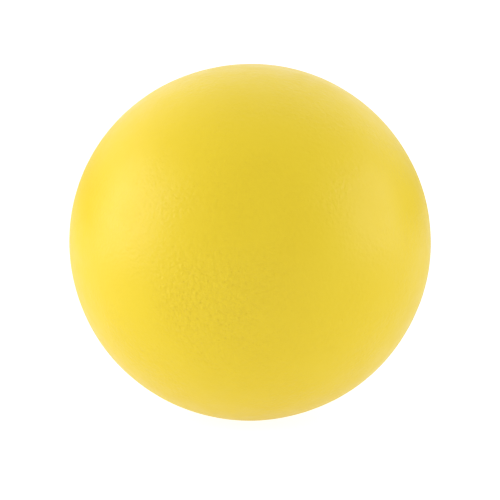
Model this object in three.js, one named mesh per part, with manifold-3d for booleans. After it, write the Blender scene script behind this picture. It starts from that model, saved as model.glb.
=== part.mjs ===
// A moulded foam stress ball: a soft foam core inside a denser moulded skin, under a sprayed elastic coat.
// Millimetres, +Z up. X runs across the mould's parting plane, so the two halves of the skin meet at X = 0.
// The origin is the centre of the flat foot that is left where the pouring gate was cut off.
import * as THREE from "three";
import { mergeVertices, toCreasedNormals } from "three/addons/utils/BufferGeometryUtils.js";
import Module from "manifold-3d";

const wasm = await Module();
wasm.setup();

// Driving dimensions, in millimetres.
const ballWidth = 70; // over the coat, at the equator
const ballHeight = 69.1; // over the coat, pole to pole, before the foot is cut
const coatWall = 0.3; // sprayed elastic coat
const skinWall = 1.5; // dense foam that set against the mould
const layerGap = 0.2; // bond line between one layer and the next
const flashThickness = 0.4; // foam that was squeezed into the parting line
const gateRadius = 4.2; // stub of the pouring gate, at the foot
const gateTopRadius = 3.4; // the same stub at its inner end
const gateDepth = 6; // height of the stub, from the foot into the core
const gateClearance = 0.3; // all round the stub
const trimMargin = 0.8; // how far the cut of the foot runs past the stub

// How finely the round surfaces are divided.
const turnSegments = 48; // round the Z axis
const poleSegments = 24; // from the bottom pole to the top one
const gateSegments = 24; // round the stub
const creaseAngle = THREE.MathUtils.degToRad(30); // sharper edges than this keep their edge when shaded

// The foot is the plane Z = 0: it cuts the coat's surface in a circle of this radius.
const footRadius = gateRadius + trimMargin;
const centreHeight = (ballHeight / 2) * Math.sqrt(1 - (footRadius / (ballWidth / 2)) ** 2);

// Depth of each layer's outer surface below the coat's outer surface.
const coatInside = coatWall;
const skinOutside = coatInside + layerGap;
const skinInside = skinOutside + skinWall;
const coreOutside = skinInside + layerGap;

// A closed geometry as a solid that can be joined and cut.
function solidOf(geometry) {
  geometry.deleteAttribute("normal");
  geometry.deleteAttribute("uv");
  const merged = mergeVertices(geometry);
  return new wasm.Manifold(
    new wasm.Mesh({
      numProp: 3,
      vertProperties: merged.attributes.position.array,
      triVerts: new Uint32Array(merged.index.array),
    }),
  );
}

// A solid back as a geometry that three.js can shade.
function geometryOf(solid) {
  const { vertProperties, triVerts } = solid.getMesh();
  const geometry = new THREE.BufferGeometry();
  geometry.setAttribute("position", new THREE.BufferAttribute(vertProperties, 3));
  geometry.setIndex(new THREE.BufferAttribute(triVerts, 1));
  return toCreasedNormals(geometry, creaseAngle);
}

// A profile of [radius, height] pairs turned about Z. It starts and ends on the axis.
function turned(profile, segments) {
  const points = profile.map(([radius, height]) => new THREE.Vector2(radius, height));
  return solidOf(new THREE.LatheGeometry(points, segments).rotateX(Math.PI / 2));
}

// The ball's spheroid, shrunk by the same depth all over: half an ellipse turned about Z.
function ballAtDepth(depth) {
  const halfWidth = ballWidth / 2 - depth;
  const halfHeight = ballHeight / 2 - depth;
  const profile = [];
  for (let i = 0; i <= poleSegments; i++) {
    const angle = (Math.PI * i) / poleSegments;
    const radius = i === poleSegments ? 0 : halfWidth * Math.sin(angle);
    profile.push([radius, centreHeight - halfHeight * Math.cos(angle)]);
  }
  return turned(profile, turnSegments);
}

// The space between two depths, closed all round.
function layer(outside, inside) {
  return ballAtDepth(outside).subtract(ballAtDepth(inside));
}

// A block wider and taller than the ball that spans the given stretch of X, and stands on the foot's plane.
function blockOver(fromX, toX) {
  const block = new THREE.BoxGeometry(toX - fromX, 2 * ballWidth, 2 * ballHeight);
  return solidOf(block.translate((fromX + toX) / 2, 0, ballHeight));
}

// The gate's tapered stub. Grown by a clearance, and run on below the foot, it is also the hole for itself.
function gateStub(clearance, below) {
  const foot = gateRadius + clearance;
  const top = gateTopRadius + clearance;
  const height = gateDepth + clearance;
  const profile = [[0, -below], [foot, -below]];
  if (below > 0) profile.push([foot, 0]);
  profile.push([top, height], [0, height]);
  return turned(profile, gateSegments);
}

const gateHole = gateStub(gateClearance, ballHeight / 2);
const flashEdge = flashThickness / 2;
const skinEdge = flashEdge + layerGap;

function makeOuterCoat() {
  return layer(0, coatInside).intersect(blockOver(-ballWidth, ballWidth)).subtract(gateHole);
}

// One half of the skin: side is -1 for the left one and 1 for the right one.
function makeSkin(side) {
  const reach = side * ballWidth;
  const edge = side * skinEdge;
  const half = blockOver(Math.min(edge, reach), Math.max(edge, reach));
  return layer(skinOutside, skinInside).intersect(half).subtract(gateHole);
}

function makeSeamFlash() {
  return layer(skinOutside, skinInside).intersect(blockOver(-flashEdge, flashEdge)).subtract(gateHole);
}

function makeFoamCore() {
  return ballAtDepth(coreOutside).subtract(gateHole);
}

// Matt elastic lacquer, and the paler bare foam under it.
const coatFinish = { color: 0xf2cf3a, roughness: 0.62, metalness: 0 };
const skinFinish = { color: 0xe8cf6e, roughness: 0.7, metalness: 0 };
const foamFinish = { color: 0xf0e0a0, roughness: 0.95, metalness: 0 };

function piece(name, solid, finish) {
  const mesh = new THREE.Mesh(geometryOf(solid), new THREE.MeshStandardMaterial(finish));
  mesh.name = name;
  return mesh;
}

const stressBall = new THREE.Group();
stressBall.add(piece("outer_coat", makeOuterCoat(), coatFinish));
stressBall.add(piece("left_skin", makeSkin(-1), skinFinish));
stressBall.add(piece("right_skin", makeSkin(1), skinFinish));
stressBall.add(piece("seam_flash", makeSeamFlash(), skinFinish));
stressBall.add(piece("foam_core", makeFoamCore(), foamFinish));
stressBall.add(piece("gate_stub", gateStub(0, 0), foamFinish));

export default stressBall;
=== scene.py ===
import math
import bmesh
import bpy
import numpy as np
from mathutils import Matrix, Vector


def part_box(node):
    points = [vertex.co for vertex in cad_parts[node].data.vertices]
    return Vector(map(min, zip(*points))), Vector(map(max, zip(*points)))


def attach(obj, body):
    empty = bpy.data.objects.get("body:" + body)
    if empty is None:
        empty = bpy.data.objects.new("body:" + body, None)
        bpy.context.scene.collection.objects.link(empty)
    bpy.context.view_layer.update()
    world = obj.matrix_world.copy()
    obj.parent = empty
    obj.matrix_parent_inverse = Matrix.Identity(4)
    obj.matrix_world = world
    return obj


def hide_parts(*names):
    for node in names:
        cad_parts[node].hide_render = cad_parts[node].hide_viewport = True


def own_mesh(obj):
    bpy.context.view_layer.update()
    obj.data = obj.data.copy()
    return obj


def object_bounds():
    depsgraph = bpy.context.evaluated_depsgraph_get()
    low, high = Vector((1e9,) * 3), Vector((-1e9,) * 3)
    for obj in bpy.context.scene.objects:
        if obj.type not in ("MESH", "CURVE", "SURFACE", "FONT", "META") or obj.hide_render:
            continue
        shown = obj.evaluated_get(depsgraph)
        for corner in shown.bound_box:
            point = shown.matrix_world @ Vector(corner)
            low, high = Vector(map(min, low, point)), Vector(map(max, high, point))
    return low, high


# A moulded foam stress ball, built round its CAD frame: a sprayed coat over the two halves of a dense
# moulded skin, a web of flash between them, a soft foam core and the cut stub of the pouring gate.
# Metres, +Z up. The origin is the middle of the flat foot, and the mould's parting plane is X = 0.
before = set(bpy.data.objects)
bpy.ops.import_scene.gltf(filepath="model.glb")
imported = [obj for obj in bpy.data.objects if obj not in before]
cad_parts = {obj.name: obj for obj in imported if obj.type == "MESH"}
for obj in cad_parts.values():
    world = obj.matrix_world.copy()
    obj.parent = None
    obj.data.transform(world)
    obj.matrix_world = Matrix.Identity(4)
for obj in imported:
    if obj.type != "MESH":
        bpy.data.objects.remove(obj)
cadLow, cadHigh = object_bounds()
print("frame loaded:", len(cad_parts), "nodes")


# Every vertex of a CAD node, one row each.
def nodePlaces(name):
    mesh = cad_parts[name].data
    places = np.empty(len(mesh.vertices) * 3, np.float32)
    mesh.vertices.foreach_get("co", places)
    return places.reshape(-1, 3).astype(float)


# The ball's own sizes, read off the frame. The widest ring of the coat stands at the ball's middle height.
coatPlaces = nodePlaces("outer_coat")
halfWidth = float(coatPlaces[:, 0].max())
middle = float(coatPlaces[coatPlaces[:, 0] > halfWidth - 1e-6, 2].mean())
halfHeight = cadHigh.z - middle
ballCentre = np.array([0.0, 0.0, middle])

# Depths below the coat's surface, at which each layer begins and ends.
leftLow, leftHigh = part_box("left_skin")
flashLow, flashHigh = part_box("seam_flash")
coreLow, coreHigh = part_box("foam_core")
bondGap = flashLow.x - leftHigh.x
skinOutside = halfWidth + leftLow.x
coatInside = skinOutside - bondGap
coreOutside = halfWidth - coreHigh.x
skinInside = coreOutside - bondGap

# The gate's stub: its radius at the foot and at its inner end, and its height.
stubPlaces = nodePlaces("gate_stub")
stubHeight = float(stubPlaces[:, 2].max())
stubFoot = float(stubPlaces[:, 0].max())
stubTop = float(stubPlaces[stubPlaces[:, 2] > stubHeight - 1e-6, 0].max())


# Quads between neighbouring points of a grid, whose points are numbered along each row.
def gridFaces(rows, columns):
    first = (np.arange(rows - 1)[:, None] * columns + np.arange(columns - 1)).ravel()
    return np.stack([first, first + 1, first + 1 + columns, first + columns], axis=1)


# Joins grids of points into one mesh, with a quad between each point and its three neighbours. Points that
# meet are welded, so seams and poles close, the faces of a closed piece are turned outwards, and every
# point keeps its place at rest for the patterns to follow.
def makePiece(name, grids, mapPlaces=None, closed=True):
    places = np.concatenate([grid.reshape(-1, 3) for grid in grids])
    starts = np.cumsum([0] + [grid.shape[0] * grid.shape[1] for grid in grids])
    faces = np.concatenate([gridFaces(*grid.shape[:2]) + start for grid, start in zip(grids, starts)])
    mesh = bpy.data.meshes.new(name)
    mesh.from_pydata(places, [], faces)
    if mapPlaces is not None:
        corners = np.empty(len(mesh.loops), np.int32)
        mesh.loops.foreach_get("vertex_index", corners)
        flat = np.concatenate([one.reshape(-1, 2) for one in mapPlaces])
        layer = mesh.uv_layers.new(name="OFBake")
        layer.uv.foreach_set("vector", flat[corners].astype(np.float32).ravel())
    work = bmesh.new()
    work.from_mesh(mesh)
    bmesh.ops.remove_doubles(work, verts=work.verts, dist=1e-7)
    if closed:
        bmesh.ops.recalc_face_normals(work, faces=work.faces)
    work.to_mesh(mesh)
    work.free()
    mesh.shade_smooth()
    rest = np.empty(len(mesh.vertices) * 3, np.float32)
    mesh.vertices.foreach_get("co", rest)
    mesh.attributes.new("restPlace", "FLOAT_VECTOR", "POINT").data.foreach_set("vector", rest)
    piece = bpy.data.objects.new(name, mesh)
    bpy.context.scene.collection.objects.link(piece)
    print("made", name, "with", len(mesh.polygons), "faces")
    return piece


# Unevenness with no pattern to it: the sum of many sine waves, each along a random direction, whose
# lengths lie between shortest and longest. Its root mean square is the given height.
def waves(places, shortest, longest, height, seed, count=48):
    draw = np.random.default_rng(seed)
    directions = draw.normal(size=(count, 3))
    directions /= np.linalg.norm(directions, axis=1, keepdims=True)
    lengths = shortest * (longest / shortest) ** draw.random(count)
    phases = 2 * np.pi * draw.random(count)
    flat = places.reshape(-1, 3)
    total = np.sin(2 * np.pi * flat @ (directions / lengths[:, None]).T + phases).sum(axis=1)
    return (height * math.sqrt(2 / count) * total).reshape(places.shape[:-1])


# Three numbers from 0 to 1 for each cube of a grid: what is left after the point of a large sine.
def scattered(cubes, seed):
    mix = np.array([[127.1, 269.5, 113.5], [311.7, 183.3, 271.9], [74.7, 246.1, 124.6]])
    return np.abs(np.sin(cubes @ mix + seed) * 43758.5453) % 1


# Round hollows side by side: how far each place is from the nearest of one random point in each cube,
# as a share of the cube's width.
def cells(places, width, seed):
    scaled = places / width
    cubes = np.floor(scaled)
    nearest = np.full(places.shape[:-1], 2.0)
    for step in np.ndindex(3, 3, 3):
        near = cubes + np.array(step) - 1
        nearest = np.minimum(nearest, np.linalg.norm(near + scattered(near, seed) - scaled, axis=-1))
    return nearest


# How deep the foam's blisters are: depth times one less the distance from the cell's middle, and never
# less than nothing.
def blisters(places, width, depth, seed):
    return depth * (1 - np.clip(cells(places, width, seed), 0, 1))


# Places on the ball for directions from its middle: each half axis, less the depth, times the direction.
def onBall(directions, depth):
    return directions * np.array([halfWidth - depth, halfWidth - depth, halfHeight - depth]) + ballCentre


# The way out of the ball's surface: the direction divided by the half axes, at length one.
def outOfBall(directions):
    out = directions / np.array([halfWidth, halfWidth, halfHeight])
    return out / np.linalg.norm(out, axis=-1, keepdims=True)


# Directions for an angle up from the bottom pole and an angle round the Z axis.
def bottomDirections(upAngle, turnAngle):
    upAngle, turnAngle = np.broadcast_arrays(upAngle, turnAngle)
    return np.stack([np.sin(upAngle) * np.cos(turnAngle), np.sin(upAngle) * np.sin(turnAngle),
                     -np.cos(upAngle)], axis=-1)


# A profile turned about Z: each radius times the angle's cosine and sine, at its own height.
def turned(radii, heights, turnAngle):
    across = radii[:, None] * np.cos(turnAngle)
    along = radii[:, None] * np.sin(turnAngle)
    return np.stack([across, along, np.broadcast_to(heights[:, None], across.shape)], axis=-1)


# The angle up from the bottom pole at which a layer's surface has the given radius: its sine is the
# radius over the layer's half width.
def gateAngle(radius, depth):
    return math.asin(radius / (halfWidth - depth))


coat = {
    "gridSteps": 108,                   # quads along each edge of the six sides of the ball
    "footSteps": 60,                    # rings between the lowest side's edge and the gate
    "insideSteps": 26,                  # rings inside the coat
    "lipGap": 0.00008,                  # between the coat's lip and the stub
    "trimSoftness": 0.00006,            # how gently the ball turns into the cut foot
    "moulding": 0.00003,                # depth of the broad unevenness left by demoulding
    "mouldingWidths": (0.014, 0.035),
    "peel": 0.0000035,                  # depth of the sprayed coat's orange peel
    "peelWidths": (0.0016, 0.0042),
    "insideStrip": 0.06,                # share of the piece's map that the inner wall has
    "chartEdge": 0.004,                 # margin round each chart, as a share of the map
}

# The six sides of a cube round the ball: rightwards, upwards and outwards of each, seen from outside.
sides = [
    ((0, 1, 0), (0, 0, 1), (1, 0, 0)),
    ((0, -1, 0), (0, 0, 1), (-1, 0, 0)),
    ((-1, 0, 0), (0, 0, 1), (0, 1, 0)),
    ((1, 0, 0), (0, 0, 1), (0, -1, 0)),
    ((1, 0, 0), (0, 1, 0), (0, 0, 1)),
    ((1, 0, 0), (0, -1, 0), (0, 0, -1)),
]


# Directions through a side: outwards, plus rightwards and upwards times the tangent of each parameter
# times an eighth of a turn, so equal steps are nearly equal angles. Both run from -1 to 1.
def sideDirections(side, across, up):
    right, top, out = (np.array(v, float) for v in side)
    reach = out + np.tan(across * math.pi / 4)[..., None] * right
    reach = reach + np.tan(up * math.pi / 4)[..., None] * top
    return reach / np.linalg.norm(reach, axis=-1, keepdims=True)


# The other way round, from directions to a side's two parameters: the angle whose tangent is the share
# of rightwards or upwards over outwards, in eighths of a turn.
def sideParameters(side, directions):
    right, top, out = (np.array(v, float) for v in side)
    depth = directions @ out
    return np.stack([np.arctan(directions @ right / depth), np.arctan(directions @ top / depth)],
                    axis=-1) * 4 / math.pi


# Once round a side's edge, as both parameters: along the bottom, up, back along the top, and down.
def aroundSide(steps):
    line = np.linspace(-1, 1, steps + 1)[:-1]
    one = np.ones(steps)
    across = np.concatenate([line, one, -line, -one, [-1]])
    up = np.concatenate([-one, line, one, -line, [-1]])
    return across, up


# The coat's surface: the ball, lifted by the moulding's unevenness and the orange peel along its own
# outward direction. Each height becomes half of itself plus the root of its square and the softness
# squared, which leaves the ball alone and presses what is below the foot smoothly onto it.
def coatSurface(directions):
    places = onBall(directions, 0)
    lift = waves(places, *coat["mouldingWidths"], coat["moulding"], seed=11)
    lift += waves(places, *coat["peelWidths"], coat["peel"], seed=12)
    places = places + lift[..., None] * outOfBall(directions)
    height = places[..., 2]
    places[..., 2] = (height + np.sqrt(height**2 + coat["trimSoftness"] ** 2)) / 2
    return places


# Where a side's chart lies on the piece's map: three across and two up, above a strip for the inside.
# A parameter of -1 falls on one edge of the chart and 1 on the other.
def chart(index, parameters):
    strip = coat["insideStrip"]
    edge = coat["chartEdge"]
    size = np.array([1 / 3, (1 - strip) / 2])
    corner = np.array([index % 3 / 3, strip + index // 3 * size[1]])
    return corner + edge + (parameters + 1) / 2 * (size - 2 * edge)


# The coat: five square sides, a lowest side whose rings turn from square to round on their way to the
# gate, the lip, and the inner wall, which runs from the gate to the top. A ring's angle up from the pole
# is the gate's, plus an even share of the way out, plus the square's excess times that share cubed.
def makeCoat():
    line = np.linspace(-1, 1, coat["gridSteps"] + 1)
    across, up = np.meshgrid(line, line)
    grids = []
    charts = []
    for index, side in enumerate(sides[:5]):
        grids.append(coatSurface(sideDirections(side, across, up)))
        charts.append(chart(index, np.stack([across, up], axis=-1)))

    square = sideDirections(sides[5], *aroundSide(coat["gridSteps"]))
    turnAngle = np.arctan2(square[:, 1], square[:, 0])
    squareAngle = np.arccos(-square[:, 2])
    holeRadius = stubFoot + coat["lipGap"]
    holeAngle = gateAngle(holeRadius, 0)
    share = np.linspace(1, 0, coat["footSteps"] + 1)[:, None]
    ringAngle = holeAngle + (math.pi / 4 - holeAngle) * share + (squareAngle - math.pi / 4) * share**3
    under = bottomDirections(ringAngle, turnAngle)
    grids.append(coatSurface(under))
    charts.append(chart(5, sideParameters(sides[5], under)))

    innerAngle = np.linspace(gateAngle(holeRadius, coatInside), math.pi, coat["insideSteps"])[:, None]
    inner = onBall(bottomDirections(innerAngle, turnAngle), coatInside)
    lip = grids[-1][-1:]
    inside = np.concatenate([lip, (lip + inner[:1]) / 2, inner])
    grids.append(inside)
    rows, columns = inside.shape[:2]
    edge = coat["chartEdge"]
    stripAcross = np.linspace(edge, 1 - edge, columns)
    stripUp = np.linspace(coat["insideStrip"] - edge, edge / 2, rows)
    charts.append(np.stack(np.meshgrid(stripAcross, stripUp), axis=-1))
    return makePiece("outerCoat", grids, charts)


skin = {
    "seamSteps": 90,       # from the top of each half to its notch
    "turnSteps": 110,      # round each half
    "texture": 0.000012,   # depth of the mould's fine texture on the outside
    "textureWidths": (0.0008, 0.002),
    "cellWidth": 0.0026,   # from blister to blister on the bonded inside
    "cellDepth": 0.00009,
}


# One face of a half of the skin, and its outward direction, in rows from the top down to the gate. A row
# turns either way from the half's own pole until it meets the seam, where radius times cosine is the
# seam's offset. turnShare runs from -1 to 1 along it.
def skinFace(side, depth, turnShare):
    seam = -leftHigh.x
    low = gateAngle(stubFoot + bondGap, depth)
    high = math.pi - gateAngle(seam, depth)
    upAngle = np.linspace(high, low, skin["seamSteps"])[:, None]
    radius = (halfWidth - depth) * np.sin(upAngle)
    opening = np.arccos(np.clip(seam / radius, -1, 1))
    pole = 0 if side > 0 else math.pi
    directions = bottomDirections(upAngle, pole + opening * turnShare)
    return onBall(directions, depth), outOfBall(directions)


# One half of the skin: each row is a closed loop, out along the outer face from seam to seam and back
# along the inner one. The loops are carried from the top down to the notch for the stub. side is -1 or 1.
def makeSkin(name, side):
    sweep = np.linspace(-1, 1, skin["turnSteps"])
    outer, out = skinFace(side, skinOutside, sweep)
    rough = waves(outer, *skin["textureWidths"], skin["texture"], seed=21) - skin["texture"] * 3
    outer = outer + rough[..., None] * out
    inner, out = skinFace(side, skinInside, sweep[::-1])
    inner = inner + blisters(inner, skin["cellWidth"], skin["cellDepth"], seed=22)[..., None] * out
    loop = np.concatenate([outer, inner, outer[:, :1]], axis=1)
    notch = np.stack([outer[-1], inner[-1, ::-1]])
    return makePiece(name, [loop, notch])


flash = {
    "steps": 320,          # along the web, from one side of the gate over the top to the other
    "ragged": 0.00002,     # unevenness of its outer edge
    "raggedWidths": (0.001, 0.004),
}


# The web of flash: a thin rectangle carried round the parting plane, from one side of the gate over the
# top to the other. Its corners are an outer and an inner place at each step, moved aside either way.
def makeFlash():
    low = gateAngle(stubFoot + bondGap, skinOutside)
    angle = np.linspace(low, 2 * math.pi - low, flash["steps"])
    directions = np.stack([np.zeros_like(angle), np.sin(angle), -np.cos(angle)], axis=-1)
    outer = onBall(directions, skinOutside)
    worn = np.abs(waves(outer, *flash["raggedWidths"], flash["ragged"], seed=31))
    outer -= worn[:, None] * outOfBall(directions)
    inner = onBall(directions, skinInside)
    shares = np.array([0, 0, 0.33, 0.67, 1, 1, 0.67, 0.33, 0])
    offsets = np.array([-1, 1, 1, 1, 1, -1, -1, -1, -1]) * flashHigh.x
    loop = outer[:, None] + (inner - outer)[:, None] * shares[:, None]
    loop[..., 0] = offsets
    ends = [np.stack([loop[k, [0, 7, 6, 5]], loop[k, [1, 2, 3, 4]]]) for k in (0, -1)]
    return makePiece("seamFlash", [loop, *ends])


core = {
    "rings": 200,          # from the gate's pocket to the top
    "turns": 300,          # round the ball
    "cellWidth": 0.0026,   # from blister to blister, where it grew against the skin
    "cellDepth": 0.00022,
    "swell": 0.00004,      # broader unevenness
    "swellWidths": (0.003, 0.009),
    "pocketSteps": 13,     # from the pocket's mouth to its inner end
}


# The foam core: the ball's shape less shallow blisters, and a pocket round the stub, which is a cone
# turned about Z and closed by a flat end.
def makeCore():
    turnAngle = np.linspace(0, 2 * math.pi, core["turns"] + 1)
    mouth = stubFoot + bondGap
    upAngle = np.linspace(gateAngle(mouth, coreOutside), math.pi, core["rings"])[:, None]
    directions = bottomDirections(upAngle, turnAngle)
    outside = onBall(directions, coreOutside)
    hollow = blisters(outside, core["cellWidth"], core["cellDepth"], seed=41)
    hollow += np.abs(waves(outside, *core["swellWidths"], core["swell"], seed=42))
    outside = outside - hollow[..., None] * outOfBall(directions)
    top = stubHeight + bondGap
    rise = np.linspace(0, 1, core["pocketSteps"] + 1)[1:]
    radii = np.append(mouth + (stubTop + bondGap - mouth) * rise, 0)
    mouthHeight = outside[0, 0, 2]
    heights = np.append(mouthHeight + (top - mouthHeight) * rise, top)
    pocket = turned(radii, heights, turnAngle)
    return makePiece("foamCore", [np.concatenate([pocket[::-1], outside])])


stub = {
    "turns": 160,          # round the stub
    "rings": 40,           # from the middle of its foot to its rim
    "rim": 0.00025,        # rounding where the knife left the edge
    "rimSteps": 5,
    "sideSteps": 25,
    "cellWidth": 0.00075,  # from cell to cell, where the knife cut them open
    "cellDepth": 0.00009,
}


# The stub: a profile turned about Z. It runs out along the cut disc, whose open cells are raised into the
# foam, round a quarter of a circle at the rim, up the tapered side, and back to the axis.
def makeStub():
    turnAngle = np.linspace(0, 2 * math.pi, stub["turns"] + 1)
    bend = np.linspace(0, math.pi / 2, stub["rimSteps"] + 1)[1:]
    disc = np.linspace(0, stubFoot - stub["rim"], stub["rings"])
    side = np.linspace(0, 1, stub["sideSteps"] + 1)[1:]
    radii = np.concatenate([disc, stubFoot - stub["rim"] * (1 - np.sin(bend)),
                            stubFoot + (stubTop - stubFoot) * side, [0]])
    heights = np.concatenate([np.zeros_like(disc), stub["rim"] * (1 - np.cos(bend)),
                              stub["rim"] + (stubHeight - stub["rim"]) * side, [stubHeight]])
    places = turned(radii, heights, turnAngle)
    hollow = blisters(places, stub["cellWidth"], stub["cellDepth"], seed=51)
    foot = np.clip((stubFoot - radii) / stub["rim"], 0, 1) * (np.arange(len(radii)) < len(disc))
    places[..., 2] += hollow * foot[:, None]
    return makePiece("gateStub", [places])


# A new node with its settings, and its inputs linked or set.
def addNode(tree, kind, inputs, **settings):
    made = tree.nodes.new("ShaderNode" + kind)
    for name, value in settings.items():
        setattr(made, name, value)
    for name, value in inputs.items():
        if isinstance(value, bpy.types.NodeSocket):
            tree.links.new(value, made.inputs[name])
        else:
            made.inputs[name].default_value = value
    return made


# value taken from one range to another with a smooth start and end.
def eased(tree, value, fromLow, fromHigh, toLow, toHigh):
    inputs = {"Value": value, "From Min": fromLow, "From Max": fromHigh, "To Min": toLow, "To Max": toHigh}
    return addNode(tree, "MapRange", inputs, interpolation_type="SMOOTHSTEP").outputs["Result"]


# Two values put together by one operation of arithmetic.
def combined(tree, operation, first, second):
    made = addNode(tree, "Math", {0: first, 1: second}, operation=operation)
    return made.outputs["Value"]


# Cloudy noise from 0 to 1, whose broadest clouds are about width across.
def noise(tree, place, width, detail=2.0):
    inputs = {"Vector": place, "Scale": 1 / width, "Detail": detail}
    return addNode(tree, "TexNoise", inputs).outputs["Fac"]


# The first colour, less its share, plus that share of the second.
def mixedColour(tree, share, first, second):
    made = tree.nodes.new("ShaderNodeMix")
    made.data_type = "RGBA"
    for index, value in ((0, share), (6, first), (7, second)):
        if isinstance(value, bpy.types.NodeSocket):
            tree.links.new(value, made.inputs[index])
        else:
            made.inputs[index].default_value = value
    return made.outputs[2]


# An empty material: its tree, its main shader and the places at rest that its patterns follow.
def startMaterial(name):
    material = bpy.data.materials.new(name)
    material.use_nodes = True
    tree = material.node_tree
    shader = tree.nodes["Principled BSDF"]
    place = addNode(tree, "Attribute", {}, attribute_name="restPlace").outputs["Vector"]
    return material, tree, shader, place


lacquer = {
    "yellow": (0.85, 0.633, 0.012, 1),
    "thinYellow": (0.825, 0.600, 0.009, 1),   # where the spray lies a little thinner
    # painted shade: the darker yellow that pores and valleys are shaded towards
    "paintedShadeYellow": (0.72, 0.49, 0.007, 1),
    "thinness": 0.35,                         # how strongly those patches show
    "poreShade": 0.3,                         # how far painted shade darkens the pores
    # how far painted shade darkens the valleys between pebbles
    "valleyShade": 0.16,
    "roughness": (0.34, 0.42),                # least and most, from patch to patch
    "specular": 0.44,
    "pebbleWidth": 0.00085,                   # fine grain, like a thin leather's
    "pebbleDepth": 0.0001,
    "grainWidth": 0.00042,
    "grainShare": 0.55,                       # of the pebbles' depth
    "poreWidth": 0.00062,                     # from pore to pore
    "poreShare": 0.3,                         # their depth, as a share of the pebbles'
    "grainDepth": (0.16, 0.5),                # least and most of it, from area to area
    "areaWidth": 0.012,                       # of those areas
    "sprayWidth": 0.011,                      # of the thin patches
    "sheenWidth": 0.0035,                     # of the patches that are glossier or duller
    "bareSpot": (-0.17, -0.97, -0.17),        # way from the ball's middle to where the grain is deepest
    "bareWidth": 0.017,                       # from there to where that ends
    "bareness": 1.0,
}


# Matt elastic lacquer over foam. The relief is the fine grain, less the distance to the nearest pebble's
# middle, less the pores that some cells hold, all times the depth of the area. The colour goes from the
# spray's yellow towards a painted shade by how far a place is down in a pore or in a valley between
# pebbles.
def makeLacquer():
    material, tree, shader, place = startMaterial("yellowLacquer")
    areas = noise(tree, place, lacquer["areaWidth"], detail=1)
    crowd = eased(tree, areas, 0.35, 0.65, *lacquer["grainDepth"])
    spot = ballCentre + halfWidth * np.array(lacquer["bareSpot"])
    away = addNode(tree, "VectorMath", {0: place, 1: tuple(spot)}, operation="DISTANCE").outputs["Value"]
    bare = eased(tree, away, lacquer["bareWidth"] * 0.2, lacquer["bareWidth"], 1, 0)
    crowd = combined(tree, "ADD", crowd, combined(tree, "MULTIPLY", bare, lacquer["bareness"]))
    pebbles = {"Vector": place, "Scale": 1 / lacquer["pebbleWidth"], "Smoothness": 0.6}
    pebble = addNode(tree, "TexVoronoi", pebbles, feature="SMOOTH_F1").outputs["Distance"]
    grain = noise(tree, place, lacquer["grainWidth"], detail=1.5)
    pore = addNode(tree, "TexVoronoi", {"Vector": place, "Scale": 1 / lacquer["poreWidth"]})
    pick = addNode(tree, "SeparateColor", {"Color": pore.outputs["Color"]}).outputs["Red"]
    hollow = eased(tree, pore.outputs["Distance"], 0.05, 0.55, 1, 0)
    pit = combined(tree, "MULTIPLY", hollow, eased(tree, pick, 0.6, 0.95, 0, 1))
    finer = combined(tree, "MULTIPLY", grain, lacquer["grainShare"] * 2)
    relief = combined(tree, "SUBTRACT", finer, pebble)
    relief = combined(tree, "SUBTRACT", relief, combined(tree, "MULTIPLY", pit, lacquer["poreShare"]))
    relief = combined(tree, "MULTIPLY", relief, crowd)
    valley = eased(tree, combined(tree, "SUBTRACT", pebble, grain), -0.3, 0.5, 0, 1)
    valley = combined(tree, "MULTIPLY", valley, crowd)
    bump = addNode(tree, "Bump", {"Height": relief, "Distance": lacquer["pebbleDepth"]})
    tree.links.new(bump.outputs["Normal"], shader.inputs["Normal"])
    patches = noise(tree, place, lacquer["sprayWidth"], detail=3)
    thin = eased(tree, patches, 0.3, 0.7, 0, lacquer["thinness"])
    spray = mixedColour(tree, thin, lacquer["yellow"], lacquer["thinYellow"])
    # Painted shade in the pores and in the valleys between pebbles, deeper where the grain is deeper.
    shade = combined(tree, "MULTIPLY", combined(tree, "MULTIPLY", pit, crowd), lacquer["poreShade"])
    shade = combined(tree, "ADD", shade, combined(tree, "MULTIPLY", valley, lacquer["valleyShade"]))
    tree.links.new(mixedColour(tree, shade, spray, lacquer["paintedShadeYellow"]), shader.inputs["Base Color"])
    sheen = noise(tree, place, lacquer["sheenWidth"], detail=3)
    rough = eased(tree, sheen, 0.3, 0.7, *lacquer["roughness"])
    tree.links.new(rough, shader.inputs["Roughness"])
    shader.inputs["Specular IOR Level"].default_value = lacquer["specular"]
    return material


foams = {
    "mouldedSkin": {
        "light": (0.80, 0.63, 0.13, 1),   # the cells' walls
        "cellShade": (0.62, 0.43, 0.06, 1),    # painted shade in the middle of an open cell
        "width": 0.0006,                  # from cell to cell
        "depth": 0.00005,
        "open": 0.5,                      # share of the cells that are open
        "roughness": 0.68,
    },
    "coreFoam": {
        "light": (0.87, 0.77, 0.37, 1),
        "cellShade": (0.56, 0.43, 0.13, 1),
        "width": 0.00095,
        "depth": 0.0002,
        "open": 1.0,
        "roughness": 0.88,
    },
    "wobble": 0.35,                       # broad unevenness, as a share of the cells' depth
    "stainWidth": 0.009,                  # faintly darker patches
    "stain": 0.18,
    "sheen": 0.06,                        # how far the roughness varies either way
}
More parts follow.
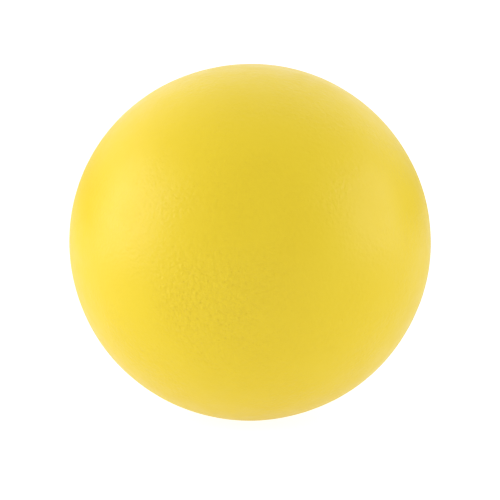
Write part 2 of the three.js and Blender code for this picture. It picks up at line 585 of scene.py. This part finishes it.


# Bare foam: cells packed side by side between thin pale walls. Each is a bowl, whose depth is the distance
# to the nearest wall, eased, times how far it is open, which its own random number says. The colour goes
# from the walls' towards a painted shade with that depth.
def makeFoam(name):
    values = foams[name]
    material, tree, shader, place = startMaterial(name)
    wobble = noise(tree, place, values["width"] * 3)
    packed = {"Vector": place, "Scale": 1 / values["width"]}
    edge = addNode(tree, "TexVoronoi", packed, feature="DISTANCE_TO_EDGE").outputs["Distance"]
    own = addNode(tree, "TexVoronoi", packed).outputs["Color"]
    pick = addNode(tree, "SeparateColor", {"Color": own}).outputs["Green"]
    openness = eased(tree, pick, 1 - values["open"], 1, 0.2, 1)
    bowl = combined(tree, "MULTIPLY", eased(tree, edge, 0.02, 0.34, 0, 1), openness)
    relief = combined(tree, "SUBTRACT", combined(tree, "MULTIPLY", wobble, foams["wobble"]), bowl)
    bump = addNode(tree, "Bump", {"Height": relief, "Distance": values["depth"]})
    tree.links.new(bump.outputs["Normal"], shader.inputs["Normal"])
    patches = noise(tree, place, foams["stainWidth"], detail=3)
    stain = eased(tree, patches, 0.3, 0.7, 0, foams["stain"])
    # Painted shade in the open cells' bowls, or the faint darker stains, whichever is stronger.
    depth = combined(tree, "MAXIMUM", combined(tree, "MULTIPLY", bowl, 0.9), stain)
    tree.links.new(mixedColour(tree, depth, values["light"], values["cellShade"]), shader.inputs["Base Color"])
    dull = values["roughness"]
    rough = eased(tree, wobble, 0.3, 0.7, dull - foams["sheen"], dull + foams["sheen"])
    tree.links.new(rough, shader.inputs["Roughness"])
    return material


# Fits a finished piece into the frame: it takes its material, hides the CAD node it stands for, and hangs
# it on its body.
def fitPiece(piece, node, body, material):
    piece.data.materials.append(material)
    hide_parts(node)
    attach(piece, body)
    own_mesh(piece)


studio = {
    "lens": 150,                            # millimetres
    "elevation": 8,                         # degrees above the horizon
    "ballShare": 0.7236,                    # the ball's width as a share of the picture's
    "rise": 0.0155,                         # of its middle above the picture's, as a share of its height
    "sky": 0.7,                             # even light from all round
    "backSky": 0.53,                        # and more from behind and above
    "backWay": (0, 0.8, 0.6),
    "backSpread": (0.45, 0.95),             # cosines at which that light begins and is full
    "backCorners": 0.65,                    # and less from behind on the left and right
    "cornerSpread": (0.72, 0.95),
    "floorColour": 0.38,
    "floorGlow": (0.64, 0.54),              # under the ball, and away from it
    "glowReach": (0.03, 0.08),              # how far from its middle the one turns into the other
    "floorSeen": 0.9,                       # its glow as the camera sees it
    "floorRings": (4.0, 1.2, 0.4, 0.1, 0),  # radii, from the outside in, so that it faces up
    "floorTurns": 96,
    "floorGap": 0.00002,                    # between the floor and the foot
    "away": 0.42,                           # from the ball to both soft boxes
    "left": {"turn": -82, "rise": 8, "size": (0.40, 0.52), "power": 2.25},
    "right": {"turn": 84, "rise": 8, "size": (0.34, 0.42), "power": 1.6},
}


# The camera looks along +Y and a little down. The ball's outline is a cone of tangents, whose half angle
# gives the camera's distance for the share of the picture that the ball fills.
def makeCamera():
    camera = bpy.data.objects.new("camera", bpy.data.cameras.new("camera"))
    bpy.context.scene.collection.objects.link(camera)
    camera.data.lens = studio["lens"]
    halfPicture = camera.data.sensor_width / 2 / studio["lens"]
    distance = halfWidth / math.sin(math.atan(halfPicture * studio["ballShare"]))
    tilt = math.radians(studio["elevation"])
    back = Vector((0, -math.cos(tilt), math.sin(tilt)))
    upwards = Vector((0, math.sin(tilt), math.cos(tilt)))
    camera.location = Vector(ballCentre) + back * distance
    target = Vector(ballCentre) - upwards * (distance * halfPicture * 2 * studio["rise"])
    camera.rotation_euler = (target - camera.location).to_track_quat("-Z", "Y").to_euler()
    camera.data.clip_start = 0.01
    bpy.context.scene.camera = camera


# A soft box that faces the ball. It stands turned from the camera's side about Z, and raised, by angles.
# Its energy is its power times pi times its area, so its brightness doesn't change with its size.
def makeSoftBox(name):
    values = studio[name]
    turn = math.radians(values["turn"])
    rise = math.radians(values["rise"])
    width, height = values["size"]
    light = bpy.data.lights.new(name + "SoftBox", "AREA")
    light.shape = "RECTANGLE"
    light.size = width
    light.size_y = height
    light.energy = values["power"] * math.pi * width * height
    box = bpy.data.objects.new(name + "SoftBox", light)
    way = Vector((math.sin(turn) * math.cos(rise), -math.cos(turn) * math.cos(rise), math.sin(rise)))
    box.location = Vector(ballCentre) + way * studio["away"]
    box.rotation_euler = (-way).to_track_quat("-Z", "Y").to_euler()
    bpy.context.scene.collection.objects.link(box)


# A wide round floor: a few rings turned about Z. It glows more under the ball, by how far a place is from
# the middle of the foot. The camera sees it plain white, and it is clear from underneath.
def makeFloor():
    radii = np.array(studio["floorRings"])
    turnAngle = np.linspace(0, 2 * math.pi, studio["floorTurns"] + 1)
    rings = turned(radii, np.full(len(radii), -studio["floorGap"]), turnAngle)
    floor = makePiece("paleFloor", [rings], closed=False)
    material = bpy.data.materials.new("paleFloor")
    material.use_nodes = True
    tree = material.node_tree
    shader = tree.nodes["Principled BSDF"]
    grey = studio["floorColour"]
    shader.inputs["Base Color"].default_value = (grey, grey, grey, 1)
    shader.inputs["Roughness"].default_value = 0.9
    shader.inputs["Specular IOR Level"].default_value = 0
    shader.inputs["Emission Color"].default_value = (1, 1, 1, 1)
    seen = addNode(tree, "LightPath", {}).outputs["Is Camera Ray"]
    place = addNode(tree, "Attribute", {}, attribute_name="restPlace").outputs["Vector"]
    away = addNode(tree, "VectorMath", {0: place}, operation="LENGTH").outputs["Value"]
    unseen = eased(tree, away, *studio["glowReach"], *studio["floorGlow"])
    glow = eased(tree, seen, 0, 1, unseen, studio["floorSeen"])
    tree.links.new(glow, shader.inputs["Emission Strength"])
    below = addNode(tree, "NewGeometry", {}).outputs["Backfacing"]
    clear = addNode(tree, "BsdfTransparent", {}).outputs["BSDF"]
    mix = addNode(tree, "MixShader", {0: below, 1: shader.outputs["BSDF"], 2: clear})
    tree.links.new(mix.outputs["Shader"], tree.nodes["Material Output"].inputs["Surface"])
    floor.data.materials.append(material)


# Pale light from all round. More comes from behind and above, by the cosine of the angle to that way, and
# less from the room's two far corners, by the cosine of the angle to the nearer of them, less half of how
# steeply the direction rises or falls. The camera sees it plain white.
def makeSky():
    world = bpy.data.worlds.new("paleRoom")
    bpy.context.scene.world = world
    world.use_nodes = True
    tree = world.node_tree
    way = addNode(tree, "TexCoord", {}).outputs["Generated"]
    both = {0: way, 1: studio["backWay"]}
    cosine = addNode(tree, "VectorMath", both, operation="DOT_PRODUCT").outputs["Value"]
    more = eased(tree, cosine, *studio["backSpread"], studio["sky"], studio["sky"] + studio["backSky"])
    parts = addNode(tree, "SeparateXYZ", {0: way}).outputs
    aside = combined(tree, "ABSOLUTE", parts["X"], 0)
    corner = combined(tree, "MULTIPLY", combined(tree, "ADD", aside, parts["Y"]), math.sqrt(0.5))
    high = combined(tree, "MULTIPLY", combined(tree, "ABSOLUTE", parts["Z"], 0), 0.5)
    corner = combined(tree, "SUBTRACT", corner, high)
    less = eased(tree, corner, *studio["cornerSpread"], 0, studio["backCorners"])
    power = combined(tree, "SUBTRACT", more, less)
    light = tree.nodes["Background"]
    light.inputs["Color"].default_value = (1, 1, 1, 1)
    tree.links.new(power, light.inputs["Strength"])
    seen = addNode(tree, "Background", {"Color": (1, 1, 1, 1), "Strength": 1.0})
    direct = addNode(tree, "LightPath", {}).outputs["Is Camera Ray"]
    inputs = {0: direct, 1: light.outputs["Background"], 2: seen.outputs["Background"]}
    mix = addNode(tree, "MixShader", inputs)
    tree.links.new(mix.outputs["Shader"], tree.nodes["World Output"].inputs["Surface"])


makeCamera()
makeSky()
makeFloor()
makeSoftBox("left")
makeSoftBox("right")
bpy.context.scene.view_settings.view_transform = "Standard"
print("studio set")

lacquerMaterial = makeLacquer()
skinMaterial = makeFoam("mouldedSkin")
foamMaterial = makeFoam("coreFoam")

outerCoat = makeCoat()
leftSkin = makeSkin("leftSkin", -1)
rightSkin = makeSkin("rightSkin", 1)
seamFlash = makeFlash()
foamCore = makeCore()
gateStub = makeStub()
fitPiece(outerCoat, "outer_coat", "core", lacquerMaterial)
fitPiece(leftSkin, "left_skin", "left_side", skinMaterial)
fitPiece(rightSkin, "right_skin", "right_side", skinMaterial)
fitPiece(seamFlash, "seam_flash", "core", skinMaterial)
fitPiece(foamCore, "foam_core", "core", foamMaterial)
fitPiece(gateStub, "gate_stub", "core", foamMaterial)
print("pieces fitted")
